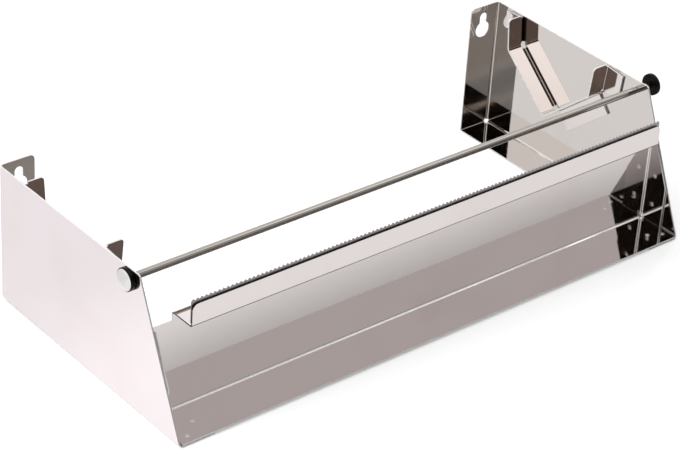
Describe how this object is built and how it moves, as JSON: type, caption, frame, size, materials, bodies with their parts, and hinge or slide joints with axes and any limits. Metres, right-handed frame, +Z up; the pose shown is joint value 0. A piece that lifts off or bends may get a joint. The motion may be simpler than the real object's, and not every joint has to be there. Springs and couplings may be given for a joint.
{
  "type": "cling film dispenser",
  "caption": "Wall-hung cling film dispenser of folded polished steel sheet, with side brackets, V cradles for the roll, a front panel with a toothed blade, and a sliding guide rod.",
  "frame": {"origin": "on the resting plane, under the middle of the whole object's bounding box", "axes": "+X along the film roll and the guide rod, +Y towards the wall, +Z up"},
  "size_m": [0.5058, 0.224, 0.1138],
  "materials": {
    "side_steel": "mirror-polished stainless sheet",
    "panel_steel": "mirror-polished stainless sheet",
    "blade_steel": "satin cut strip",
    "cradle_steel": "polished stainless strip",
    "rod_steel": "drawn bright rod",
    "knob_chrome": "polished"
  },
  "bodies": {
    "frame": {"left_side": "side_steel", "right_side": "side_steel", "front_panel": "panel_steel", "serrated_blade": "blade_steel", "left_roll_cradle": "cradle_steel", "right_roll_cradle": "cradle_steel"},
    "rod_slider": {"right_rod_knob": "knob_chrome"},
    "rod": {"guide_rod": "rod_steel", "left_rod_knob": "knob_chrome"}
  },
  "joints": [
    {"name": "rod_slide", "type": "slide", "parent": "frame", "child": "rod_slider", "axis": [1, 0, 0], "range_m": [-0.014, 0]},
    {"name": "rod_spin", "type": "hinge", "parent": "rod_slider", "child": "rod", "pos_m": [0, -0.0497, 0.1044], "axis": [1, 0, 0], "continuous": true}
  ]
}
